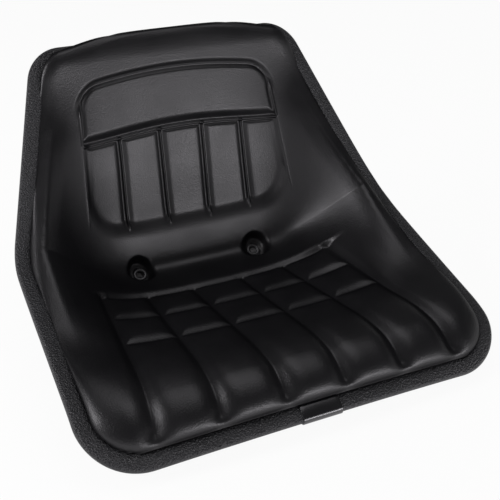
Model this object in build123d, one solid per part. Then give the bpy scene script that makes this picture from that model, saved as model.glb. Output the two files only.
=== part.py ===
from build123d import *
import os
from math import atan, cos, hypot, pi, radians, sin

# Pan seat for a garden tractor, in millimetres.
# The shape is drawn over the rim plane: x across, s from the front edge up to the top edge,
# h square to that plane. The finished solids are then set upright, with the flat underside
# of the pan on z = 0 and the middle of its four fixing holes at the origin.

# Rim plane and outline of the edge trim
rim_tilt = 33.7
rim_length = 523.0
rim_front_y = -202.0
rim_front_z = 18.0
arm_half_width = 244.0
top_half_width = 169.0
bend_station = 290.0
front_corner_radius = 65.0
bend_corner_radius = 160.0
top_corner_radius = 46.0

# Height of the rim along the outline
rim_low = -84.5
rim_slope = 0.385
rim_bend_softness = 25.0
front_droop = 30.0
front_droop_length = 90.0
front_bow = 13.0

# Steel pan
pan_thickness = 2.0
flange_width = 15.0
side_wall_width = 90.0
front_wall_width = 80.0
top_wall_width = 45.0
pan_back_slope = 0.97
pan_back_drop = 226.0
pan_crease_softness = 60.0
floor_coining = 0.2

# Cushion surface
seat_slope = 0.97
crease_height = -171.0
crease_softness = 20.0
front_lip_height = 32.0
front_lip_softness = 48.0
front_crown = 20.0
top_roll_height = 16.0
top_roll_softness = 32.0
bolster_height = 18.0
bolster_inset = 38.0
bowl_power = 4
edge_roll_width = 27.0
edge_roll_clearance = 2.0
skin_edge_thickness = 2.0
skin_edge_inset = 3.0
skin_squeeze = 0.8
glue_gap = 0.3

# Quilting of the seat: grooves from the rear cross groove to the front lip
groove_depth = 6.0
groove_half_width = 6.5
groove_lift = 4.0
rib_rear_positions = (33.0, 92.0, 150.0)
rib_front_positions = (34.0, 105.0, 173.0)
rib_front_station = 27.0
cross_stations = (236.0, 193.0, 146.0)
cross_bow = 6.0
rib_sections = 8
cross_sections = 8
corner_steps = 4

# Quilting of the back: an upper pad over a row of five upright panels
pad_top_station = 478.0
pad_half_width = 128.0
pad_bottom_station = 424.0
pad_arch = 8.0
pad_corner_radius = 24.0
panel_bottom_station = 326.0
panel_corner_radius = 34.0
panel_groove_positions = (29.0, 82.0)
panel_groove_bottom = 343.0
panel_recess_depth = 9.0
panel_top_depth = 2.5
panel_inset = 2.5

# Edge trim and the sleeve over its joint
trim_width = 18.0
trim_wall = 2.5
trim_web = 3.0
trim_joint_gap = 1.0
fit_clearance = 0.3
sleeve_length = 45.0
sleeve_wall = 1.3
sleeve_gap = 0.2

# Drain eyelets in the crease
eyelet_position = 80.5
eyelet_station = 291.6
eyelet_bore_radius = 4.8
eyelet_wall = 1.2
eyelet_flange_radius = 9.8
eyelet_flange_thickness = 1.6
eyelet_dimple_depth = 12.0
eyelet_dimple_radius = 19.0
eyelet_washer_radius = 12.0
eyelet_washer_thickness = 1.5
eyelet_tail = 1.2

# Four fixing points with captive nuts
fixing_spacing_x = 140.0
fixing_spacing_y = 120.0
fixing_hole_radius = 4.25
nut_across_flats = 13.0
nut_height = 6.5
nut_weld_gap = 0.1
nut_pocket_clearance = 1.0
bolt_relief = 22.0

# Drain hole in the pan floor
drain_radius = 10.0
drain_y = 0.0

# How the sheets are sampled, and a length past everything
section_count = 14
points_across = 24
edge_overhang = 12.0
probe = 0.5
reach = 700.0
upward = (Align.CENTER, Align.CENTER, Align.MIN)

upright = Plane(
    origin=(0, rim_front_y, rim_front_z),
    x_dir=(1, 0, 0),
    z_dir=(0, -sin(radians(rim_tilt)), cos(radians(rim_tilt))),
)


def soft_max(a, b, blend):
    overlap = max(blend - abs(a - b), 0)
    return max(a, b) + overlap**2 / (4 * blend)


def soft_min(a, b, blend):
    return -soft_max(-a, -b, blend)


def ease(t):
    t = min(max(t, 0), 1)
    return t * t * (3 - 2 * t)


def back_narrowing():
    return (arm_half_width - top_half_width) / (rim_length - bend_station)


def half_width(s):
    return min(arm_half_width, arm_half_width - back_narrowing() * (s - bend_station))


def round_corner(a, b, radius, turn):
    """Distance in from a rounded corner, from those to its two sides and the turn between them."""
    p = radius - a
    q = radius - b
    if p > q * cos(turn) and q > p * cos(turn):
        return radius - (p * p + q * q - 2 * p * q * cos(turn)) ** 0.5 / sin(turn)
    return min(a, b)


def side_inset(x, s):
    lean = atan(back_narrowing())
    arm = arm_half_width - abs(x)
    back = (arm - back_narrowing() * (s - bend_station)) * cos(lean)
    return round_corner(arm, back, bend_corner_radius, lean)


def inset(x, s):
    """Distance in from the outer edge of the trim."""
    lean = atan(back_narrowing())
    side = side_inset(x, s)
    front = round_corner(side, s, front_corner_radius, pi / 2)
    top = round_corner(side, rim_length - s, top_corner_radius, pi / 2 - lean)
    return min(front, top)


def rim_height(x, s):
    bend = hypot(s - bend_station, rim_bend_softness) - rim_bend_softness
    droop = max(front_droop_length - s, 0) / front_droop_length
    bow = front_bow * (1 - (x / arm_half_width) ** 2)
    return rim_low + rim_slope * bend - (front_droop - bow) * droop**2


def floor_height(s):
    tilt = radians(rim_tilt)
    return (pan_thickness - floor_coining - rim_front_z - s * sin(tilt)) / cos(tilt)


def pan_height(x, s):
    back = pan_back_slope * (s - bend_station) - pan_back_drop
    dish = soft_max(floor_height(s), back, pan_crease_softness)
    flange = trim_web + flange_width
    depth = ease((side_inset(x, s) - flange) / side_wall_width)
    depth *= ease((s - flange) / front_wall_width)
    depth *= ease((rim_length - s - flange) / top_wall_width)
    rim = rim_height(x, s)
    return rim - (rim - dish) * depth


def cushion_height(x, s):
    crease = hypot(s - bend_station, crease_softness) - crease_softness
    middle = crease_height + seat_slope * crease
    if s < bend_station:
        lip = front_lip_height - front_crown * (x / arm_half_width) ** 2
        middle = soft_min(middle, lip, front_lip_softness)
    else:
        middle = soft_min(middle, top_roll_height, top_roll_softness)
    rim = rim_height(x, s)
    bolster = max(rim + bolster_height, middle)
    bowl = min(abs(x) / (half_width(s) - bolster_inset), 1) ** bowl_power
    crown = middle + (bolster - middle) * bowl
    edge = rim + skin_edge_thickness + glue_gap + skin_squeeze
    roll = min(max((inset(x, s) - trim_width - edge_roll_clearance) / edge_roll_width, 0), 1)
    return edge + (crown - edge) * sin(roll * pi / 2)


def surface_point(height, x, s, offset):
    slope_x = (height(x + probe, s) - height(x - probe, s)) / (2 * probe)
    slope_s = (height(x, s + probe) - height(x, s - probe)) / (2 * probe)
    normal = Vector(-slope_x, -slope_s, 1).normalized()
    return Vector(x, s, height(x, s)) + normal * offset


def even(start, end, count):
    return [start + (end - start) * i / count for i in range(count + 1)]


def spread(start, end, count):
    """Stations from start to end, closer together at both ends."""
    return [start + (end - start) * (1 - cos(pi * i / count)) / 2 for i in range(count + 1)]


def sheet(height, offset=0.0):
    """Spline sections across the seat, lofted from the front edge to the top edge."""
    overhang = edge_overhang / arm_half_width
    stations = spread(-edge_overhang, bend_station, section_count)
    stations += spread(bend_station, rim_length + edge_overhang, section_count)[1:]
    shares = spread(-1 - overhang, 1 + overhang, points_across)
    knots = [(v - shares[0]) / (shares[-1] - shares[0]) for v in shares]
    sections = []
    for s in stations:
        row = [surface_point(height, half_width(s) * v, s, offset) for v in shares]
        sections.append(Wire([Edge.make_spline(row, parameters=knots)]))
    return Shell.make_loft(sections).faces()[0]


def above(height, offset=0.0):
    return Solid.extrude(sheet(height, offset), Vector(0, 0, reach))


def outline(grow=0.0):
    """The trim's outer edge seen square to the rim plane, grown or shrunk all round."""
    corners = [
        (arm_half_width, 0),
        (arm_half_width, bend_station),
        (top_half_width, rim_length),
        (-top_half_width, rim_length),
        (-arm_half_width, bend_station),
        (-arm_half_width, 0),
    ]
    face = make_face(Polyline(*corners, close=True))
    front_corners = face.vertices().group_by(Axis.Y)[0]
    face = fillet(front_corners, front_corner_radius)
    top_corners = face.vertices().group_by(Axis.Y)[-1]
    face = fillet(top_corners, top_corner_radius)
    bends = face.vertices().filter_by_position(Axis.Y, bend_station - probe, bend_station + probe)
    face = fillet(bends, bend_corner_radius)
    return offset(face, grow) if grow else face


def prism(face):
    return extrude(Pos(0, 0, -reach / 2) * face, reach)


def shape_pan():
    sheet_metal = prism(outline(-trim_web)) & above(pan_height, -pan_thickness)
    return sheet_metal - above(pan_height)


def groove(path, surface=cushion_height, open_start=False):
    """A V-shaped cutter along (x, s) points of a surface, running out at its closed ends."""
    flare = groove_half_width * (1 + groove_lift / groove_depth)
    sections = []
    for i, (x, s) in enumerate(path):
        before = path[max(i - 1, 0)]
        after = path[min(i + 1, len(path) - 1)]
        along = Vector(after[0] - before[0], after[1] - before[1], 0).normalized()
        base = surface_point(surface, x, s, 0)
        normal = (surface_point(surface, x, s, 1) - base).normalized()
        across = normal.cross(along).normalized()
        faded = (i == 0 and not open_start) or i == len(path) - 1
        root = base - normal * (0 if faded else groove_depth)
        shoulder = root + normal * (groove_depth + groove_lift)
        corners = [root, shoulder + across * flare, shoulder - across * flare]
        sections.append(Wire.make_polygon(corners, close=True))
    return Solid.make_loft(sections)


def cross_station(row, x):
    return cross_stations[row] + cross_bow * (x / rib_rear_positions[-1]) ** 2


def seat_grooves():
    """Ribs run from the rear cross groove to the front lip, and three grooves cross them."""
    cutters = []
    for rear, front in zip(rib_rear_positions, rib_front_positions):
        start = cross_station(0, rear) + groove_half_width
        for side in (-1, 1):
            across = even(side * rear, side * front, rib_sections)
            cutters.append(groove(list(zip(across, even(start, rib_front_station, rib_sections)))))
    for row in range(len(cross_stations)):
        share = (cross_stations[0] - cross_stations[row]) / (cross_stations[0] - rib_front_station)
        end = rib_rear_positions[-1] + (rib_front_positions[-1] - rib_rear_positions[-1]) * share
        end += groove_half_width
        across = even(-end, end, cross_sections)
        cutters.append(groove([(x, cross_station(row, x)) for x in across]))
    return cutters


def pad_bottom(x):
    return pad_bottom_station - pad_arch * (x / pad_half_width) ** 2


def panel_floor(x, s):
    """The panels sink into the back towards their lower edge."""
    sink = ease((pad_bottom_station - s) / (pad_bottom_station - panel_bottom_station))
    return cushion_height(x, s) - panel_top_depth - (panel_recess_depth - panel_top_depth) * sink


def pad_top(x):
    return pad_top_station + pad_arch * (1 - (x / pad_half_width) ** 2)


def corner_arc(x, s, radius, start, end):
    """Points of a rounded corner about its centre, by angle in degrees."""
    angles = [radians(start + (end - start) * i / corner_steps) for i in range(corner_steps + 1)]
    return [(x + radius * cos(a), s + radius * sin(a)) for a in angles]


def pad_sides():
    """Upright ends of the upper pad with their rounded upper corners."""
    inner = pad_half_width - pad_corner_radius
    level = pad_top(inner) - pad_corner_radius
    side = [(pad_half_width, s) for s in even(pad_bottom(pad_half_width), level, corner_steps)]
    side += corner_arc(inner, level, pad_corner_radius, 0, 90)[1:]
    side.append((inner - 2 * groove_half_width, pad_top(inner - 2 * groove_half_width)))
    return [groove(side), groove([(-x, s) for x, s in side])]


def back_grooves():
    """The outline of the upper pad, the sides of the panels and the grooves between them."""
    cutters = pad_sides()
    inner = pad_half_width - pad_corner_radius
    cutters.append(groove([(x, pad_top(x)) for x in even(-inner, inner, cross_sections)]))
    ends = pad_half_width + groove_half_width
    cutters.append(groove([(x, pad_bottom(x)) for x in even(-ends, ends, cross_sections)]))
    for position in panel_groove_positions:
        for x in (-position, position):
            rows = even(pad_bottom(x), panel_groove_bottom, corner_steps)
            cutters.append(groove([(x, s) for s in rows], panel_floor, open_start=True))
    return cutters


def panel_recess():
    half = pad_half_width - panel_inset
    top = ThreePointArc((half, pad_bottom(half)), (0, pad_bottom(0)), (-half, pad_bottom(half)))
    sides = Polyline(top @ 1, (-half, panel_bottom_station), (half, panel_bottom_station), top @ 0)
    panels = make_face(top + sides)
    panels = fillet(panels.vertices().group_by(Axis.Y)[0], panel_corner_radius)
    return prism(panels) & above(panel_floor)


def eyelet_base():
    """Top of the pan under an eyelet, at the bottom of the crease."""
    return pan_height(eyelet_position, eyelet_station)


def eyelet_seat():
    """Face of the dimple that an eyelet's flange rests on."""
    return cushion_height(eyelet_position, eyelet_station) - eyelet_dimple_depth


def shape_cushion():
    body = prism(outline(-trim_web - skin_edge_inset)) & above(pan_height, glue_gap)
    body -= above(cushion_height)
    under_trim = prism(outline() - outline(-trim_width - fit_clearance))
    body -= under_trim & above(rim_height, skin_edge_thickness + glue_gap)
    body -= panel_recess()
    for cutter in seat_grooves() + back_grooves():
        body -= cutter
    hole_radius = eyelet_bore_radius + eyelet_wall + fit_clearance
    for x in (-eyelet_position, eyelet_position):
        place = Pos(x, eyelet_station, eyelet_seat())
        mouth = eyelet_flange_radius + fit_clearance
        dimple = Cone(mouth, eyelet_dimple_radius, 2 * eyelet_dimple_depth, align=upward)
        body -= place * dimple
        body -= place * Cylinder(hole_radius, reach)
    return body


def shape_trim():
    """A clip-on strip that grips the pan's flange and the edge of the cushion skin."""
    over = skin_edge_thickness + glue_gap + fit_clearance
    under = pan_thickness + fit_clearance
    ring = outline() - outline(-trim_width)
    strip = (prism(ring) & above(rim_height, -under - trim_wall)) - above(rim_height, over + trim_wall)
    slot = prism(outline(fit_clearance - trim_web)) & above(rim_height, -under)
    strip -= slot - above(rim_height, over)
    joint = Box(trim_joint_gap, 2 * front_corner_radius, reach)
    return strip - joint


def shape_sleeve():
    """A short sleeve that hides the joint of the trim at the middle of the front edge."""
    over = skin_edge_thickness + glue_gap + fit_clearance + trim_wall + sleeve_gap
    under = pan_thickness + fit_clearance + trim_wall + sleeve_gap
    band = outline(sleeve_gap + sleeve_wall) - outline(sleeve_gap - trim_width)
    band &= Rectangle(sleeve_length, 2 * front_corner_radius)
    shell = (prism(band) & above(rim_height, -under - sleeve_wall)) - above(rim_height, over + sleeve_wall)
    core = prism(outline(sleeve_gap)) & above(rim_height, -under)
    return shell - (core - above(rim_height, over))


def shape_eyelet(x):
    """A tubular eyelet: rolled flange in the dimple, barrel through cushion and pan."""
    barrel_radius = eyelet_bore_radius + eyelet_wall
    seat = eyelet_seat()
    length = seat - eyelet_base() + pan_thickness + eyelet_washer_thickness + eyelet_tail
    body = Pos(0, 0, -length) * Cylinder(barrel_radius, length, align=upward)
    flange = Cylinder(eyelet_flange_radius, eyelet_flange_thickness, align=upward)
    rim = flange.edges().group_by(Axis.Z)[-1]
    body += fillet(rim, eyelet_flange_thickness / 2)
    bore = Cylinder(eyelet_bore_radius, reach)
    countersink = Cone(
        eyelet_bore_radius, eyelet_bore_radius + eyelet_wall, eyelet_flange_thickness, align=upward
    )
    return Pos(x, eyelet_station, seat) * (body - bore - countersink)


def shape_washer(x):
    barrel_radius = eyelet_bore_radius + eyelet_wall + fit_clearance
    ring = Circle(eyelet_washer_radius) - Circle(barrel_radius)
    level = eyelet_base() - pan_thickness - glue_gap - eyelet_washer_thickness
    return Pos(x, eyelet_station, level) * extrude(ring, eyelet_washer_thickness)


def fixing_places():
    return GridLocations(fixing_spacing_x, fixing_spacing_y, 2, 2)


def finish_pan(body):
    """Cuts the flat underside, the fixing holes, the drain and the eyelet holes."""
    body -= Pos(0, 0, -reach) * Box(reach, reach, reach, align=upward)
    for place in fixing_places():
        body -= place * Cylinder(fixing_hole_radius, 4 * nut_height)
    body -= Pos(0, drain_y, 0) * Cylinder(drain_radius, 4 * nut_height)
    return body


def shape_nuts():
    """Four hexagon weld nuts on the floor of the pan."""
    hexagon = RegularPolygon(nut_across_flats / 2, 6, major_radius=False) - Circle(fixing_hole_radius)
    nut = extrude(hexagon, nut_height)
    lift = Pos(0, 0, pan_thickness + nut_weld_gap)
    return Compound(children=[lift * place * nut for place in fixing_places()])


def cut_nut_pockets(body):
    """Room in the foam for each nut and for the end of its bolt."""
    pocket_radius = nut_across_flats / 2 / cos(pi / 6) + nut_pocket_clearance
    pocket_top = pan_thickness + nut_weld_gap + nut_height + nut_pocket_clearance
    for place in fixing_places():
        body -= place * Cylinder(pocket_radius, 2 * pocket_top)
        body -= place * Cylinder(fixing_hole_radius + nut_pocket_clearance, 2 * bolt_relief)
    return body


def cut_eyelet_holes(body):
    hole_radius = eyelet_bore_radius + eyelet_wall + fit_clearance
    for x in (-eyelet_position, eyelet_position):
        body -= Pos(x, eyelet_station, eyelet_base()) * Cylinder(hole_radius, 8 * pan_thickness)
    return body


def stand(body):
    return upright.location * body


nodes = {
    "seat_pan": finish_pan(stand(cut_eyelet_holes(shape_pan()))),
    "seat_cushion": cut_nut_pockets(stand(shape_cushion())),
    "edge_trim": stand(shape_trim()),
    "trim_joint_sleeve": stand(shape_sleeve()),
    "left_drain_eyelet": stand(shape_eyelet(-eyelet_position)),
    "right_drain_eyelet": stand(shape_eyelet(eyelet_position)),
    "left_eyelet_washer": stand(shape_washer(-eyelet_position)),
    "right_eyelet_washer": stand(shape_washer(eyelet_position)),
    "weld_nuts": shape_nuts(),
}

os.makedirs("parts", exist_ok=True)
for name, solid in nodes.items():
    export_step(solid, f"parts/{name}.step")
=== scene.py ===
import bpy
import math
import numpy as np
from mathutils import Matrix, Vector


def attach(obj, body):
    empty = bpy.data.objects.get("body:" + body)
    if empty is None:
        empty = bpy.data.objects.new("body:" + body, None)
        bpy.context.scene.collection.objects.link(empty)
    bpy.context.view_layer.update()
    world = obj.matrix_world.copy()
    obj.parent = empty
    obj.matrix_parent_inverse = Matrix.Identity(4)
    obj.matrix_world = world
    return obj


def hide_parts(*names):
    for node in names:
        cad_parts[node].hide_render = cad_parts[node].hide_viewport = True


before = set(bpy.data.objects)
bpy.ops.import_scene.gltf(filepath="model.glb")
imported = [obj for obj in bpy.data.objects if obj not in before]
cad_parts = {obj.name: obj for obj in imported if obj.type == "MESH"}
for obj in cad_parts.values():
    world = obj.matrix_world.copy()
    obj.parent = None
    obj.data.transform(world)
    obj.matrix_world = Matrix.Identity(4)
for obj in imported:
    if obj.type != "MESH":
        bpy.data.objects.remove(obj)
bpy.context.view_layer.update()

mm = 0.001  # the shape is worked out in millimetres, Blender holds metres
halvings = 40  # rounds of each search by halving
tiny = 1e-12  # keeps divisions safe

# seat form over the rim plane: x across, s from front edge to top edge, h square to it
seatForm = {
    "tilt": math.radians(33.7), "length": 523.0, "frontY": -202.0, "frontZ": 18.0,
    "armHalf": 244.0, "topHalf": 169.0, "bend": 290.0,
    "frontCorner": 65.0, "bendCorner": 160.0, "topCorner": 46.0,
    "rimLow": -84.5, "rimSlope": 0.385, "rimSoft": 25.0,
    "droop": 30.0, "droopLength": 90.0, "bow": 13.0,
}
narrowing = (seatForm["armHalf"] - seatForm["topHalf"]) / (seatForm["length"] - seatForm["bend"])
lean = math.atan(narrowing)


def ease(t):
    t = np.clip(t, 0, 1)
    return t * t * (3 - 2 * t)


def ramp(value, start, run):
    # 0 at the start, 1 after the run; a negative run goes the other way
    return ease((value - start) / run)


def softMin(a, b, blend):
    overlap = np.maximum(blend - np.abs(a - b), 0)
    return np.minimum(a, b) - overlap ** 2 / (4 * blend)


def slopes(field, x, s, step=0.5):
    # how steeply a field over the rim plane rises across and along
    across = (field(x + step, s) - field(x - step, s)) / (2 * step)
    along = (field(x, s + step) - field(x, s - step)) / (2 * step)
    return across, along


def roundCorner(a, b, radius, turn):
    # distance in from a rounded corner, from the distances to its two sides
    p, q = radius - a, radius - b
    inCorner = (p > q * math.cos(turn)) & (q > p * math.cos(turn))
    reach = np.sqrt(np.maximum(p * p + q * q - 2 * p * q * math.cos(turn), 0)) / math.sin(turn)
    return np.where(inCorner, radius - reach, np.minimum(a, b))


def rimInset(x, s):
    # distance in from the outer edge of the trim
    f = seatForm
    arm = f["armHalf"] - np.abs(x)
    back = (arm - narrowing * (s - f["bend"])) * math.cos(lean)
    side = roundCorner(arm, back, f["bendCorner"], lean)
    front = roundCorner(side, s, f["frontCorner"], math.pi / 2)
    top = roundCorner(side, f["length"] - s, f["topCorner"], math.pi / 2 - lean)
    return np.minimum(front, top)


def rimHeight(x, s):
    f = seatForm
    bend = np.hypot(s - f["bend"], f["rimSoft"]) - f["rimSoft"]
    droop = np.maximum(f["droopLength"] - s, 0) / f["droopLength"]
    bow = f["bow"] * (1 - (x / f["armHalf"]) ** 2)
    return f["rimLow"] + f["rimSlope"] * bend - (f["droop"] - bow) * droop ** 2


def standUp(x, s, h):
    # from the rim plane to the upright frame, in metres
    sinT, cosT = math.sin(seatForm["tilt"]), math.cos(seatForm["tilt"])
    y = seatForm["frontY"] + s * cosT - h * sinT
    z = seatForm["frontZ"] + s * sinT + h * cosT
    return np.stack([x, y, z], axis=-1) * mm


def activeOnly(obj):
    bpy.ops.object.select_all(action="DESELECT")
    obj.select_set(True)
    bpy.context.view_layer.objects.active = obj


def setVertices(obj, coords):
    obj.data.vertices.foreach_set("co", np.asarray(coords, dtype=np.float32).reshape(-1))
    obj.data.update()


def addGrid(coords):
    # a grid reshaped row by row
    rows, columns = coords.shape[:2]
    bpy.ops.mesh.primitive_grid_add(x_subdivisions=columns - 1, y_subdivisions=rows - 1, size=1)
    obj = bpy.context.active_object
    setVertices(obj, coords)
    return obj


def addRing(coords):
    # a torus reshaped ring by ring: coords holds one closed section for every ring
    rings, points = coords.shape[:2]
    bpy.ops.mesh.primitive_torus_add(major_segments=rings, minor_segments=points)
    ring = bpy.context.active_object
    setVertices(ring, coords)
    return ring


def editAll(obj, operator, **settings):
    activeOnly(obj)
    bpy.ops.object.mode_set(mode="EDIT")
    bpy.ops.mesh.select_all(action="SELECT")
    operator(**settings)
    bpy.ops.object.mode_set(mode="OBJECT")


def editOpenEdges(obj, operator):
    activeOnly(obj)
    bpy.ops.object.mode_set(mode="EDIT")
    bpy.ops.mesh.select_mode(type="EDGE")
    bpy.ops.mesh.select_all(action="DESELECT")
    bpy.ops.mesh.select_non_manifold()
    operator()
    bpy.ops.object.mode_set(mode="OBJECT")


def finishPiece(obj, name, nodes, material, angle=None):
    # with an angle, sharper edges than that stay crisp
    obj.name = name
    obj.data.name = name
    editAll(obj, bpy.ops.mesh.normals_make_consistent, inside=False)
    if angle is None:
        bpy.ops.object.shade_smooth()
    else:
        bpy.ops.object.shade_smooth_by_angle(angle=math.radians(angle))
    obj.data.materials.clear()
    obj.data.materials.append(material)
    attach(obj, "root")
    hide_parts(*nodes)
    print("piece", name, len(obj.data.polygons), "faces")


# ramps and fades hold where they start and how far they run
cushionForm = {
    "crease": -176.0, "slope": 0.97, "creaseSoft": 16.0, "creaseSpread": 110.0, "spreadPower": 4,
    "lip": 32.0, "lipSoft": 48.0, "crown": 20.0, "topRoll": 28.0, "topSoft": 16.0,
    "bolster": 20.0, "bolsterSoft": 110.0, "bolsterBlend": 16.0, "bolsterInset": 38.0, "bowlPower": 4,
    "edgeInset": 6.0, "edgeLevel": 2.4, "rollStart": 18.4, "rollWidth": 30.0,
    "frontRoll": 26.0, "frontRamp": (110.0, -70.0), "topShort": 17.0, "topRamp": (430.0, 50.0),
    "bulge": 5.0, "topBulge": 11.0, "bulgeRamp": (440.0, 50.0), "topLift": 1.0, "topFlat": 60.0,
    "baseEdge": 2.0, "baseDrop": 12.0,
}
quilt = {
    "stretch": 1.39,  # the seat and the back lie at about 45 degrees to the rim plane
    "ribRear": (33.0, 92.0, 150.0), "ribFront": (34.0, 105.0, 173.0), "ribEnd": 29.0,
    "ribRange": (-0.05, 1.2), "ribFade": (-10.0, 16.0), "rearFade": (6.0, -7.0),
    "ribDepth": 4.6, "ribWidth": 9.0, "frontDeep": 0.45, "deepRamp": (120.0, -70.0),
    "cross": (236.0, 193.0, 146.0), "crossReach": (0.0, 3.0, 5.0), "crossFade": 10.0,
    "crossBow": 6.0, "crossDepth": 3.6, "crossWidth": 9.5,
    "pillowDepth": 2.4, "pillowWidth": 26.0, "crossPillow": 0.7,
    "padTop": 476.5, "padBottom": 424.0, "padHalf": 129.0, "padCorner": 24.0, "padLean": 0.11,
    "arch": 18.0, "seams": (28.5, 82.0), "seamEnd": 334.0, "seamDepth": 3.6, "bead": 1.6,
    "ledge": 322.0, "ledgeCorner": 40.0, "panelDepth": 6.0,
}
padRelief = {
    "turnRamp": (12.0, -24.0), "sideDepth": 3.0, "sideWidth": 8.0, "topDeeper": 1.0, "topNarrower": 2.0,
    "footDepth": 5.0, "footWidth": 15.0, "outerDepth": 3.0, "outerWidth": 8.0,
    "sideBead": 2.6, "footBead": 3.8, "footBeadFade": (-1.0, 2.0),
}
panelRelief = {
    "ledgeWidth": 11.0, "ledgeWiden": 29.0, "ledgeRun": 60.0, "headSink": 1.0,
    "headDepth": 4.0, "headWidth": 7.0, "sideDepth": 3.4, "sideWidth": 9.0, "sideFade": (-4.0, 14.0),
    "seamWidth": 9.5, "seamSpread": 2.0, "seamBead": 4.4, "beadFade": (-1.0, 3.0), "outerBead": 0.6,
    "knobUp": 3.0, "knobSize": 2.6, "knobShare": 0.8,
}
eyelet = {
    "x": 80.5, "s": 288.6, "bore": 4.6, "barrel": 6.0, "flange": 9.0, "flangeHeight": 1.8,
    "neck": -0.1, "tail": -24.0, "segments": 72, "smooth": 45,
    # (out, up) pairs: out from the bore or the flange, up from the flange's top
    "boreEdge": ((0.0, -1.6), (0.4, -0.9), (1.1, -0.3), (2.0, 0.0)),
    "flangeEdge": ((-1.9, 0.0), (-0.9, -0.25), (-0.25, -0.8), (0.0, -1.3), (-0.3, -1.8)),
    "dimple": 12.0, "dimpleFade": (9.6, 10.0), "well": 16.0, "wellFade": (-0.5, 1.5),
}
rowStops = (  # stations along the seat and the spacing of the rows between them, front to top
    (66, 3.0), (136, 0.9), (157, 2.6), (184, 0.9), (203, 2.6), (227, 0.9), (247, 2.4), (272, 1.2),
    (308, 2.0), (350, 2.6), (410, 0.8), (440, 2.6), (466, 0.8), (484, 2.0),
)
cushionMesh = {
    "edgeRows": 18, "edgeSlip": 0.02, "searchFrom": 60.0, "searchPast": 5.0,
    "seatBow": ((60.0, 70.0), (290.0, -45.0)), "backBow": (310.0, 90.0), "topBow": (-8.0, -28.0),
    "band": 9.5, "bandColumns": 23, "bandEven": 0.55, "bandTight": 0.45,  # columns beside a groove
    "footSpread": (0, 2, 9), "fullWidth": 165.0,
    "middleColumns": 7, "panelColumns": 12, "wingColumns": 26, "baseRows": 5, "baseColumns": 40,
}


def rollReach(s):
    # how far in from the trim the cushion rolls over: further at the front lip, less at the top
    c = cushionForm
    more = c["frontRoll"] * ramp(s, *c["frontRamp"])
    return c["rollWidth"] + more - c["topShort"] * ramp(s, *c["topRamp"])


def rollShare(x, s):
    return np.clip((rimInset(x, s) - cushionForm["rollStart"]) / rollReach(s), 0, 1)


def cushionLevel(x, s):
    # smooth cushion without its quilting
    c, f = cushionForm, seatForm
    soft = c["creaseSoft"] + c["creaseSpread"] * (x / f["armHalf"]) ** c["spreadPower"]
    creaseLine = c["crease"] + c["slope"] * (np.hypot(s - f["bend"], soft) - c["creaseSoft"])
    lip = c["lip"] - c["crown"] * (x / f["armHalf"]) ** 2
    seat = softMin(creaseLine, lip, c["lipSoft"])
    back = softMin(creaseLine, c["topRoll"], c["topSoft"])
    middle = np.where(s < f["bend"], seat, back)
    wing = np.hypot(s - f["bend"], c["bolsterSoft"]) - c["bolsterSoft"]
    bolster = -softMin(-f["rimLow"] - f["rimSlope"] * wing - c["bolster"], -middle, c["bolsterBlend"])
    halfWidth = np.minimum(f["armHalf"], f["armHalf"] - narrowing * (s - f["bend"]))
    bowl = np.minimum(np.abs(x) / (halfWidth - c["bolsterInset"]), 1) ** c["bowlPower"]
    crown = middle + (bolster - middle) * bowl
    edge = rimHeight(x, s) + c["edgeLevel"] * np.hypot(1, slopes(rimHeight, x, s)[1])
    return edge + (crown - edge) * np.sqrt(1 - (1 - rollShare(x, s)) ** 2)


def edgeBulge(x, s):
    # the rolled edge swells out over the trim, most at the top: shifts in x, s and h
    c = cushionForm
    swell = np.sin(math.pi * np.sqrt(rollShare(x, s)))
    middle = 1 - ramp(np.abs(x), c["topFlat"], seatForm["topHalf"] - c["topFlat"])
    over = c["topBulge"] * ramp(s, *c["bulgeRamp"]) * middle
    out = (c["bulge"] + over) * swell
    inX, inS = slopes(rimInset, x, s)
    length = np.maximum(np.hypot(inX, inS), tiny)
    return -out * inX / length, -out * inS / length, c["topLift"] * over * swell


def creaseShape(distance, width):
    # a V groove with a rounded bottom and soft shoulders, 1 at its bottom
    bottomRound, shoulder = 0.015, 0.4
    reach = np.sqrt((distance / width) ** 2 + bottomRound)
    return -softMin(reach - 1, np.zeros_like(reach), shoulder)


def valley(distance, width):
    return 1 - ease(distance / width)


def beadShape(distance, width):
    return np.exp(-(distance / width) ** 2)


def ribLine(k, s):
    q = quilt
    share = np.clip((q["cross"][0] - s) / (q["cross"][0] - q["ribEnd"]), *q["ribRange"])
    return q["ribRear"][k] + (q["ribFront"][k] - q["ribRear"][k]) * share


def crossFall(x):
    return quilt["crossBow"] * (x / quilt["ribRear"][-1]) ** 2


def archFall(x):
    return quilt["arch"] * (x / seatForm["topHalf"]) ** 2


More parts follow.
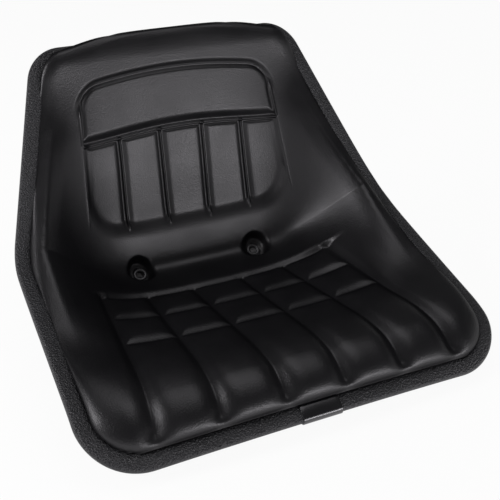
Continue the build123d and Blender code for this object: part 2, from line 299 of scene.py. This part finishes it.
def seatQuilting(x, s):
    # ribs run out below the front lip, cross grooves end at the outer ribs, pillows swell between
    q = quilt
    away = np.abs(x)
    sink, pillow = np.zeros_like(x), np.zeros_like(x)
    fadeFront = ramp(s - q["ribEnd"], *q["ribFade"])
    fadeRear = ramp(s - q["cross"][0] - crossFall(x), *q["rearFade"])
    frontDeep = 1 + q["frontDeep"] * ramp(s, *q["deepRamp"])
    for k in range(len(q["ribRear"])):
        offset = away - ribLine(k, s)
        crease = creaseShape(offset, q["ribWidth"] * frontDeep)
        sink = np.maximum(sink, q["ribDepth"] * frontDeep * crease * fadeFront * fadeRear)
        hollow = valley(np.abs(offset), q["pillowWidth"])
        pillow = np.maximum(pillow, q["pillowDepth"] * hollow * fadeFront * fadeRear)
    for station, reach in zip(q["cross"], q["crossReach"]):
        fadeSide = ramp(away - ribLine(-1, s), reach, -q["crossFade"])
        offset = s - station - crossFall(x)
        crease = creaseShape(offset * q["stretch"], q["crossWidth"])
        sink = np.maximum(sink, q["crossDepth"] * crease * fadeSide)
        hollow = valley(np.abs(offset), q["crossPillow"] * q["pillowWidth"])
        pillow = np.maximum(pillow, q["crossPillow"] * q["pillowDepth"] * hollow * fadeSide * fadeRear)
    return sink + pillow


def backQuilting(x, s):
    # an upper pad over five panels, each set off by a valley with a thin bead along its middle
    q, u, v = quilt, padRelief, panelRelief
    away = np.abs(x)
    level = s + archFall(x)
    over = (level - q["padBottom"]) * q["stretch"]
    below = (q["padTop"] - level) * q["stretch"]
    aside = q["padHalf"] - q["padLean"] * (s - q["padBottom"]) - away
    down = ease((q["padBottom"] - level) / (q["padBottom"] - q["seamEnd"]))
    # upper pad: crisp below its top line, soft above it, rolled in at the foot
    rim = roundCorner(aside, below, q["padCorner"], math.pi / 2)
    topward = ramp(below - q["padCorner"], *u["turnRamp"])
    edge = valley(rim, u["sideWidth"] - u["topNarrower"] * topward)
    inside = np.maximum((u["sideDepth"] + u["topDeeper"] * topward) * edge,
                        u["footDepth"] * valley(over, u["footWidth"]))
    outside = u["outerDepth"] * topward * valley(-rim, u["outerWidth"])
    pad = np.where(rim > 0, inside, outside) - u["sideBead"] * beadShape(rim, q["bead"]) * (1 - topward)
    # panels: sunk towards a soft ledge
    foot = (s - q["ledge"]) * q["stretch"]
    room = roundCorner(aside, foot, q["ledgeCorner"], math.pi / 2)
    ledge = ease(room / (v["ledgeWidth"] + v["ledgeWiden"] * ease(1 - foot / v["ledgeRun"])))
    upSeam = s - q["seamEnd"]
    fade = ramp(upSeam, *v["sideFade"])
    groove = np.maximum(v["headDepth"] * valley(-over, v["headWidth"]),
                        v["sideDepth"] * valley(aside, v["sideWidth"]) * fade)
    sideBead = beadShape(aside, q["bead"]) * fade
    ridge = sideBead
    for k, centre in enumerate(q["seams"]):
        offset = np.abs(away - centre - v["seamSpread"] * k * down)
        groove = np.maximum(groove, q["seamDepth"] * valley(offset, v["seamWidth"]) * fade)
        seam = beadShape(offset, q["bead"]) * ramp(upSeam, *v["beadFade"])
        knob = beadShape(np.hypot(offset, (upSeam - v["knobUp"]) * q["stretch"]), v["knobSize"])
        ridge = np.maximum(ridge, np.maximum(seam, v["knobShare"] * knob))
    panels = v["headSink"] + (q["panelDepth"] - v["headSink"]) * down + groove - v["seamBead"] * ridge
    panels = np.where((aside > 0) & (foot > 0), panels * ledge, -v["outerBead"] * sideBead)
    # the bead under the pad parts the two
    sink = np.where(over > 0, pad, panels)
    return sink - u["footBead"] * beadShape(over, q["bead"]) * ramp(aside, *u["footBeadFade"])


def eyeletDimple(x, s):
    radius = np.hypot(np.abs(x) - eyelet["x"], s - eyelet["s"])
    dish = 1 - ramp(radius, *eyelet["dimpleFade"])
    well = 1 - ramp(radius - eyelet["bore"], *eyelet["wellFade"])
    return eyelet["dimple"] * dish + eyelet["well"] * well


def surfaceNormals(grid):
    along = np.gradient(grid, axis=0)
    across = np.gradient(grid, axis=1)
    normal = np.cross(across, along)
    return normal / np.maximum(np.linalg.norm(normal, axis=2), tiny)[:, :, None]


def rowStations():
    # rows stand close together at the cross grooves, the eyelets and the edges of the pad
    first = cushionForm["edgeInset"] + cushionMesh["edgeSlip"]
    last = seatForm["length"] - first
    quarter = np.linspace(0, math.pi / 2, cushionMesh["edgeRows"])
    front = rowStops[0][0] - (rowStops[0][0] - first) * np.cos(quarter)
    top = rowStops[-1][0] + (last - rowStops[-1][0]) * np.sin(quarter)
    rows = [front[:-1]]
    for (start, step), (end, _) in zip(rowStops, rowStops[1:]):
        rows.append(np.linspace(start, end, int((end - start) / step), endpoint=False))
    return np.concatenate(rows + [top])


def rowBow(x, s):
    # rows bend with the cross grooves on the seat and with the top edge on the back
    m = cushionMesh
    rise, fall = m["seatBow"]
    seat = crossFall(x) * ramp(s, *rise) * ramp(s, *fall)
    return seat - archFall(x) * ramp(s, *m["backBow"]) * ramp(s - seatForm["length"], *m["topBow"])


def columnStations(s, end):
    # columns stand close together along the ribs of the seat and the seams of the back
    q, m = quilt, cushionMesh
    stops = [q["ribEnd"], q["cross"][0], eyelet["s"], q["seamEnd"], q["padBottom"]]
    lines = []
    for k, seam in enumerate((*q["seams"], q["padHalf"])):
        middle = eyelet["x"] if k == 1 else seam  # the second line meets the eyelet
        places = [q["ribFront"][k], q["ribRear"][k], middle, seam + m["footSpread"][k], seam]
        lines.append(np.interp(s, stops, places) * min(1, end / m["fullWidth"]))
    share = np.linspace(-1, 1, m["bandColumns"])
    band = m["band"] * (m["bandEven"] * share + m["bandTight"] * share ** 3)
    columns = [np.linspace(0, lines[0] - m["band"], m["middleColumns"])[:-1]]
    for line, after in zip(lines, lines[1:]):
        columns.append(line + band)
        columns.append(np.linspace(line + m["band"], after - m["band"], m["panelColumns"])[1:-1])
    columns.append(lines[-1] + band)
    columns.append(np.linspace(lines[-1] + m["band"], end, m["wingColumns"])[1:])
    right = np.concatenate(columns)
    return np.concatenate([-right[:0:-1], right])


def rowEnd(station):
    # where a row meets the skin's outer edge
    near, far = cushionMesh["searchFrom"], seatForm["armHalf"] + cushionMesh["searchPast"]
    for _ in range(halvings):
        x = (near + far) / 2
        if rimInset(np.array(x), station + rowBow(np.array(x), station)) > cushionForm["edgeInset"]:
            near = x
        else:
            far = x
    return near


def cushionGrid():
    stations = rowStations()
    x = np.array([columnStations(s, rowEnd(s)) for s in stations])
    return x, stations[:, None] + rowBow(x, stations[:, None])


def baseGrid():
    stations = rowStations()[::cushionMesh["baseRows"]]
    x = np.array([rowEnd(s) * np.linspace(-1, 1, cushionMesh["baseColumns"]) for s in stations])
    return x, stations[:, None] + rowBow(x, stations[:, None])


def makeCushion(material):
    c = cushionForm
    x, s = cushionGrid()
    outX, outS, up = edgeBulge(x, s)
    top = standUp(x + outX, s + outS, cushionLevel(x, s) + up)
    sink = np.where(s < seatForm["bend"], seatQuilting(x, s), backQuilting(x, s))
    top = top - surfaceNormals(top) * (sink + eyeletDimple(x, s))[:, :, None] * mm
    cushion = addGrid(top)
    print("cushion grid", x.shape)
    x, s = baseGrid()
    drop = c["baseEdge"] + c["baseDrop"] * ramp(rimInset(x, s), c["rollStart"], c["rollWidth"])
    base = addGrid(standUp(x, s, cushionLevel(x, s) - drop))
    activeOnly(cushion)
    base.select_set(True)
    bpy.ops.object.join()
    editOpenEdges(cushion, bpy.ops.mesh.bridge_edge_loops)
    finishPiece(cushion, "cushionSkin", ["seat_cushion"], material)


trimForm = {
    "width": 18.0, "over": 5.1, "under": 4.8, "slotOver": 2.6, "slotUnder": 2.3, "web": 2.7,
    "outerRound": 4.6, "lipRound": 1.2, "lipCut": 0.35, "crown": 0.4, "flatPoints": 6, "roundPoints": 15,
    "outlineRays": 500, "outlineStep": 0.05, "halfRings": 300, "gap": 0.5, "weld": 0.00001, "smooth": 50,
}


def rightOutline():
    # right half of the trim's outer edge, front middle to top middle, with outward normals
    middle = seatForm["length"] / 2
    angle = np.linspace(-math.pi / 2, math.pi / 2, trimForm["outlineRays"])
    near, far = np.zeros_like(angle), np.full_like(angle, seatForm["length"])
    for _ in range(halvings):  # along rays from the middle of the seat
        reach = (near + far) / 2
        inside = rimInset(reach * np.cos(angle), middle + reach * np.sin(angle)) > 0
        near, far = np.where(inside, reach, near), np.where(inside, far, reach)
    x, s = near * np.cos(angle), middle + near * np.sin(angle)
    inX, inS = slopes(rimInset, x, s, trimForm["outlineStep"])
    size = np.hypot(inX, inS)
    return np.stack([x, s], axis=1), np.stack([-inX / size, -inS / size], axis=1)


def sampleCurve(points, normals, count):
    # evenly spaced stations along a polyline, with their normals
    steps = np.hypot(*np.diff(points, axis=0).T)
    along = np.concatenate([[0], np.cumsum(steps)])
    stations = np.linspace(0, along[-1], count)
    place = np.stack([np.interp(stations, along, points[:, k]) for k in (0, 1)], axis=1)
    normal = np.stack([np.interp(stations, along, normals[:, k]) for k in (0, 1)], axis=1)
    return place, normal / np.linalg.norm(normal, axis=1)[:, None]


def wholeOutline():
    # once round the rim, from just right of the front joint to just left of it
    points, normals = rightOutline()
    points[0, 0] = trimForm["gap"]
    place, normal = sampleCurve(points, normals, trimForm["halfRings"])
    mirror = np.array([-1, 1])
    place = np.concatenate([place, place[-2::-1] * mirror])
    normal = np.concatenate([normal, normal[-2::-1] * mirror])
    return place, normal


def trimOutside(grow=0.0):
    # (inset, height) pairs from the upper lip over the top and round the outside to the lower lip
    t = trimForm
    middle = (t["over"] - t["under"]) / 2
    reach = (t["over"] + t["under"]) / 2
    flat = np.linspace(t["width"] - t["lipRound"], t["outerRound"], t["flatPoints"])
    crown = t["crown"] * np.sin(np.linspace(0, math.pi, t["flatPoints"]))
    path = [(d, t["over"] + grow + c) for d, c in zip(flat, crown)]
    for a in np.linspace(0, math.pi, t["roundPoints"])[1:-1]:
        d = t["outerRound"] - (t["outerRound"] + grow) * math.sin(a)
        path.append((d, middle + (reach + grow) * math.cos(a)))
    path += [(d, -t["under"] - grow) for d in flat[::-1]]
    return path


def trimSection():
    t = trimForm
    cut = t["lipCut"] * t["lipRound"]
    upper = [(t["width"], t["slotOver"]), (t["width"], t["over"] - t["lipRound"]),
             (t["width"] - cut, t["over"] - cut)]
    lower = [(t["width"] - cut, cut - t["under"]),
             (t["width"], t["lipRound"] - t["under"]), (t["width"], -t["slotUnder"])]
    slot = [(t["web"], -t["slotUnder"]), (t["web"], t["slotOver"])]
    return upper + trimOutside() + lower + slot


def rimPoint(place, normal, inset, height):
    # a point beside the rim: so far in from the outer edge, so far above the flange
    x = place[..., 0] - normal[..., 0] * inset
    s = place[..., 1] - normal[..., 1] * inset
    slopeX, slopeS = slopes(rimHeight, x, s)
    lift = height / np.sqrt(slopeX ** 2 + slopeS ** 2 + 1)
    return standUp(x - slopeX * lift, s - slopeS * lift, rimHeight(x, s) + lift)


def makeTrim(material):
    place, normal = wholeOutline()
    section = np.array(trimSection())
    section = np.concatenate([section, section[:1]])
    inset, height = section[None, :, 0], section[None, :, 1]
    trim = addGrid(rimPoint(place[:, None, :], normal[:, None, :], inset, height))
    editAll(trim, bpy.ops.mesh.remove_doubles, threshold=trimForm["weld"])  # closes the section
    editOpenEdges(trim, bpy.ops.mesh.fill)  # the two ends at the joint
    finishPiece(trim, "edgeTrimStrip", ["edge_trim"], material, trimForm["smooth"])


sleeveForm = {
    "length": 45.0, "wall": 1.3, "gap": 0.25, "columns": 10,
    "bevel": 0.35, "bevelSegments": 3, "bevelAngle": 50, "smooth": 40,
}


def makeSleeve(material):
    f = sleeveForm
    path = np.array(trimOutside(f["gap"]))
    across = np.linspace(-f["length"] / 2, f["length"] / 2, f["columns"])
    place = np.stack([across, np.zeros_like(across)], axis=1)[None, :, :]
    normal = np.array([0.0, -1.0])[None, None, :]
    sleeve = addGrid(rimPoint(place, normal, path[:, None, 0], path[:, None, 1]))
    editAll(sleeve, bpy.ops.mesh.normals_make_consistent, inside=False)
    wall = sleeve.modifiers.new("wall", "SOLIDIFY")
    wall.thickness = f["wall"] * mm
    middle = sum((p.normal for p in sleeve.data.polygons), Vector())
    wall.offset = 1 if middle.y < 0 else -1  # the wall grows outwards
    bpy.ops.object.modifier_apply(modifier="wall")
    edges = sleeve.modifiers.new("edges", "BEVEL")
    edges.width = f["bevel"] * mm
    edges.segments = f["bevelSegments"]
    edges.limit_method = "ANGLE"
    edges.angle_limit = math.radians(f["bevelAngle"])
    bpy.ops.object.modifier_apply(modifier="edges")
    finishPiece(sleeve, "jointSleeve", ["trim_joint_sleeve"], material, f["smooth"])


def makeEyelet(side, name, node, material):
    e = eyelet
    top = e["flangeHeight"]
    profile = [(e["bore"], e["tail"])]
    profile += [(e["bore"] + out, top + up) for out, up in e["boreEdge"]]
    profile += [(e["flange"] + out, top + up) for out, up in e["flangeEdge"]]
    profile += [(e["barrel"], e["neck"]), (e["barrel"], e["tail"])]
    profile = np.array(profile)
    turn = np.linspace(0, 2 * math.pi, e["segments"], endpoint=False)
    x = side * e["x"] + profile[None, :, 0] * np.cos(turn)[:, None]
    s = e["s"] + profile[None, :, 0] * np.sin(turn)[:, None]
    seat = cushionLevel(np.array(e["x"]), np.array(e["s"])) - e["dimple"]
    ring = addRing(standUp(x, s, np.broadcast_to(seat + profile[None, :, 1], x.shape)))
    finishPiece(ring, name, [node], material, e["smooth"])


grainForm = {
    "cellSmooth": 0.35, "poreDetail": 3, "blotchScale": 22, "blotchDetail": 4, "blotchRange": (0.3, 0.7),
}


def grainGroup():
    # cells like pressed leather or pebbled plastic, with finer pores and slow blotches
    group = bpy.data.node_groups.new("pressedGrain", "ShaderNodeTree")
    for name in ("Cell Scale", "Pore Scale", "Pore Share"):
        group.interface.new_socket(name=name, in_out="INPUT", socket_type="NodeSocketFloat")
    for name in ("Height", "Blotch"):
        group.interface.new_socket(name=name, in_out="OUTPUT", socket_type="NodeSocketFloat")
    nodes, links = group.nodes, group.links
    inputs = nodes.new("NodeGroupInput")
    outputs = nodes.new("NodeGroupOutput")
    coords = nodes.new("ShaderNodeTexCoord")
    cells = nodes.new("ShaderNodeTexVoronoi")
    cells.feature = "SMOOTH_F1"
    cells.inputs["Smoothness"].default_value = grainForm["cellSmooth"]
    pores = nodes.new("ShaderNodeTexNoise")
    pores.inputs["Detail"].default_value = grainForm["poreDetail"]
    blotch = nodes.new("ShaderNodeTexNoise")
    blotch.inputs["Scale"].default_value = grainForm["blotchScale"]
    blotch.inputs["Detail"].default_value = grainForm["blotchDetail"]
    mix = nodes.new("ShaderNodeMix")
    for texture in (cells, pores, blotch):
        links.new(coords.outputs["Object"], texture.inputs["Vector"])
    links.new(inputs.outputs["Cell Scale"], cells.inputs["Scale"])
    links.new(inputs.outputs["Pore Scale"], pores.inputs["Scale"])
    links.new(inputs.outputs["Pore Share"], mix.inputs["Factor"])
    links.new(cells.outputs["Distance"], mix.inputs["A"])
    links.new(pores.outputs["Fac"], mix.inputs["B"])
    links.new(mix.outputs["Result"], outputs.inputs["Height"])
    links.new(blotch.outputs["Fac"], outputs.inputs["Blotch"])
    return group


finishes = {
    "seatVinyl": {"colour": (0.0055, 0.0053, 0.0062), "lift": 0.3, "rough": (0.33, 0.41),
                  "shine": 0.6, "dull": 0.95,
                  "cells": 600, "pores": 1800, "poreShare": 0.45, "bump": 0.5, "depth": 0.0004},
    "trimStrip": {"colour": (0.0100, 0.0102, 0.0118), "lift": 0.5, "rough": (0.40, 0.52),
                  "shine": 0.6,
                  "cells": 520, "pores": 1900, "poreShare": 0.25, "bump": 0.9, "depth": 0.0016},
    "sleevePlastic": {"colour": (0.0050, 0.0050, 0.0058), "lift": 0.25, "rough": (0.20, 0.28),
                      "shine": 1.0,
                      "cells": 300, "pores": 1500, "poreShare": 0.7, "bump": 0.03, "depth": 0.0003},
    "eyeletCoat": {"colour": (0.0160, 0.0160, 0.0175), "lift": 0.3, "rough": (0.26, 0.36),
                   "shine": 0.8,
                   "cells": 600, "pores": 1800, "poreShare": 0.6, "bump": 0.06, "depth": 0.0003},
    "panPaint": {"colour": (0.0080, 0.0080, 0.0086), "lift": 0.3, "rough": (0.34, 0.46),
                 "shine": 0.5,
                 "cells": 260, "pores": 900, "poreShare": 0.5, "bump": 0.08, "depth": 0.0005},
    "nutPlate": {"colour": (0.55, 0.55, 0.56), "lift": 0.2, "rough": (0.28, 0.42),
                 "shine": 0.5, "metal": 1.0,
                 "cells": 500, "pores": 1600, "poreShare": 0.6, "bump": 0.05, "depth": 0.0003},
}
studioTint = (0.98, 0.955, 1.0)  # faint violet of the reflections
mixA, mixB, mixOut = 6, 7, 2  # the colour sockets of a mix node


def makeFinish(name, grain):
    f = finishes[name]
    material = bpy.data.materials.new(name)
    material.use_nodes = True
    nodes, links = material.node_tree.nodes, material.node_tree.links
    shader = nodes["Principled BSDF"]
    shader.inputs["Metallic"].default_value = f.get("metal", 0.0)
    shader.inputs["Specular IOR Level"].default_value = f["shine"]
    shader.inputs["Specular Tint"].default_value = (*studioTint, 1)
    pattern = nodes.new("ShaderNodeGroup")
    pattern.node_tree = grain
    pattern.inputs["Cell Scale"].default_value = f["cells"]
    pattern.inputs["Pore Scale"].default_value = f["pores"]
    pattern.inputs["Pore Share"].default_value = f["poreShare"]
    colour = nodes.new("ShaderNodeMix")
    colour.data_type = "RGBA"
    colour.inputs[mixA].default_value = (*[c * (1 - f["lift"]) for c in f["colour"]], 1)
    colour.inputs[mixB].default_value = (*[c * (1 + f["lift"]) for c in f["colour"]], 1)
    links.new(pattern.outputs["Blotch"], colour.inputs[0])
    links.new(colour.outputs[mixOut], shader.inputs["Base Color"])
    rough = nodes.new("ShaderNodeMapRange")
    rough.inputs["From Min"].default_value, rough.inputs["From Max"].default_value = grainForm["blotchRange"]
    rough.inputs["To Min"].default_value, rough.inputs["To Max"].default_value = f["rough"]
    links.new(pattern.outputs["Blotch"], rough.inputs["Value"])
    links.new(rough.outputs["Result"], shader.inputs["Roughness"])
    bump = nodes.new("ShaderNodeBump")
    bump.inputs["Strength"].default_value = f["bump"]
    bump.inputs["Distance"].default_value = f["depth"]
    links.new(pattern.outputs["Height"], bump.inputs["Height"])
    links.new(bump.outputs["Normal"], shader.inputs["Normal"])
    if "dull" in f:  # the grain keeps flat views from mirroring
        matt = nodes.new("ShaderNodeBsdfDiffuse")
        links.new(colour.outputs[mixOut], matt.inputs["Color"])
        facing = nodes.new("ShaderNodeLayerWeight")
        share = nodes.new("ShaderNodeMath")
        share.operation = "MULTIPLY"
        share.inputs[1].default_value = f["dull"]
        links.new(facing.outputs["Facing"], share.inputs[0])
        mix = nodes.new("ShaderNodeMixShader")
        links.new(share.outputs[0], mix.inputs[0])
        links.new(shader.outputs[0], mix.inputs[1])
        links.new(matt.outputs[0], mix.inputs[2])
        links.new(mix.outputs[0], nodes["Material Output"].inputs["Surface"])
    return material


def dressNode(node, material):
    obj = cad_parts[node]
    obj.data.materials.clear()
    obj.data.materials.append(material)


studio = {
    "lens": 63.95, "sensor": 36.0, "azimuth": -24.78, "elevation": 28.78,
    "camera": (-0.3669, -0.8194, 0.6063), "clip": (0.01, 50.0),
    "lamps": (  # name, place, aim, size in metres, watts
        ("overhead", (0.2, 0.2, 1.7), (0.0, 0.0, 0.1), (1.4, 1.0), 6.0),
        ("leftSide", (-1.5, 0.1, 0.85), (0.0, 0.0, 0.15), (0.6, 0.8), 13.0),
        ("frontFill", (0.62, -1.6, 0.13), (0.0, 0.1, 0.25), (1.2, 0.24), 9.0),
    ),
    "skyLight": 0.35, "horizon": (0.03, 0.32), "ceiling": 0.07,
    "floorSize": 12.0, "floorDrop": 0.0005, "floorWhite": 0.94, "paper": 0.9, "paperRough": 0.9,
}


def makeCamera():
    a, e = math.radians(studio["azimuth"]), math.radians(studio["elevation"])
    back = Vector((math.sin(a) * math.cos(e), -math.cos(a) * math.cos(e), math.sin(e)))
    bpy.ops.object.camera_add(location=studio["camera"])
    camera = bpy.context.active_object
    camera.rotation_mode = "QUATERNION"
    camera.rotation_quaternion = (-back).to_track_quat("-Z", "Y")
    camera.data.sensor_width = studio["sensor"]
    camera.data.lens = studio["lens"]
    camera.data.clip_start, camera.data.clip_end = studio["clip"]
    bpy.context.scene.camera = camera


def makeLamps():
    for name, place, target, size, power in studio["lamps"]:
        bpy.ops.object.light_add(type="AREA", location=place)
        lamp = bpy.context.active_object
        lamp.name = name
        lamp.data.shape = "RECTANGLE"
        lamp.data.size, lamp.data.size_y = size
        lamp.data.energy = power
        aim = Vector(target) - Vector(place)
        lamp.rotation_mode = "QUATERNION"
        lamp.rotation_quaternion = aim.to_track_quat("-Z", "Y")


def seenRays(nodes, links):
    # 1 for what the camera sees straight, in a reflection or through glass
    rays = nodes.new("ShaderNodeLightPath")
    total = rays.outputs["Is Camera Ray"]
    for name in ("Is Glossy Ray", "Is Transmission Ray"):
        more = nodes.new("ShaderNodeMath")
        more.operation = "MAXIMUM"
        links.new(total, more.inputs[0])
        links.new(rays.outputs[name], more.inputs[1])
        total = more.outputs[0]
    return total


def makeWorld():
    # an even glow for soft light; what is seen is a white backdrop that darkens towards the ceiling
    world = bpy.data.worlds.new("studioWorld")
    bpy.context.scene.world = world
    world.use_nodes = True
    nodes, links = world.node_tree.nodes, world.node_tree.links
    glow = nodes["Background"]
    glow.inputs["Strength"].default_value = studio["skyLight"]
    coords = nodes.new("ShaderNodeTexCoord")
    parts = nodes.new("ShaderNodeSeparateXYZ")
    links.new(coords.outputs["Generated"], parts.inputs[0])
    fade = nodes.new("ShaderNodeMapRange")
    fade.interpolation_type = "SMOOTHSTEP"
    fade.inputs["From Min"].default_value, fade.inputs["From Max"].default_value = studio["horizon"]
    fade.inputs["To Min"].default_value, fade.inputs["To Max"].default_value = 1.0, studio["ceiling"]
    links.new(parts.outputs["Z"], fade.inputs["Value"])
    backdrop = nodes.new("ShaderNodeBackground")
    links.new(fade.outputs["Result"], backdrop.inputs["Strength"])
    for shader in (glow, backdrop):
        shader.inputs["Color"].default_value = (1, 1, 1, 1)
    mix = nodes.new("ShaderNodeMixShader")
    links.new(seenRays(nodes, links), mix.inputs[0])
    links.new(glow.outputs[0], mix.inputs[1])
    links.new(backdrop.outputs[0], mix.inputs[2])
    links.new(mix.outputs[0], nodes["World Output"].inputs["Surface"])


def makeFloor():
    # paper that takes shadows, and looks white where it is seen
    bpy.ops.mesh.primitive_plane_add(size=studio["floorSize"], location=(0, 0, -studio["floorDrop"]))
    floor = bpy.context.active_object
    floor.name = "studioFloor"
    material = bpy.data.materials.new("floorPaper")
    material.use_nodes = True
    nodes, links = material.node_tree.nodes, material.node_tree.links
    paper = nodes["Principled BSDF"]
    paper.inputs["Base Color"].default_value = (*[studio["paper"]] * 3, 1)
    paper.inputs["Roughness"].default_value = studio["paperRough"]
    glow = nodes.new("ShaderNodeEmission")
    share = nodes.new("ShaderNodeMath")
    share.operation = "MULTIPLY"
    share.inputs[1].default_value = studio["floorWhite"]
    mix = nodes.new("ShaderNodeMixShader")
    links.new(seenRays(nodes, links), share.inputs[0])
    links.new(share.outputs[0], mix.inputs[0])
    links.new(paper.outputs[0], mix.inputs[1])
    links.new(glow.outputs[0], mix.inputs[2])
    links.new(mix.outputs[0], nodes["Material Output"].inputs["Surface"])
    floor.data.materials.append(material)


bpy.ops.object.select_all(action="DESELECT")
bpy.context.scene.view_settings.view_transform = "Standard"
makeCamera()
makeLamps()
makeWorld()
makeFloor()
print("stage ready")

grain = grainGroup()
looks = {name: makeFinish(name, grain) for name in finishes}
print("finishes ready")

makeCushion(looks["seatVinyl"])
makeTrim(looks["trimStrip"])
makeSleeve(looks["sleevePlastic"])
makeEyelet(-1, "leftEyelet", "left_drain_eyelet", looks["eyeletCoat"])
makeEyelet(1, "rightEyelet", "right_drain_eyelet", looks["eyeletCoat"])
dressNode("seat_pan", looks["panPaint"])
dressNode("left_eyelet_washer", looks["eyeletCoat"])
dressNode("right_eyelet_washer", looks["eyeletCoat"])
dressNode("weld_nuts", looks["nutPlate"])
print("pieces ready")
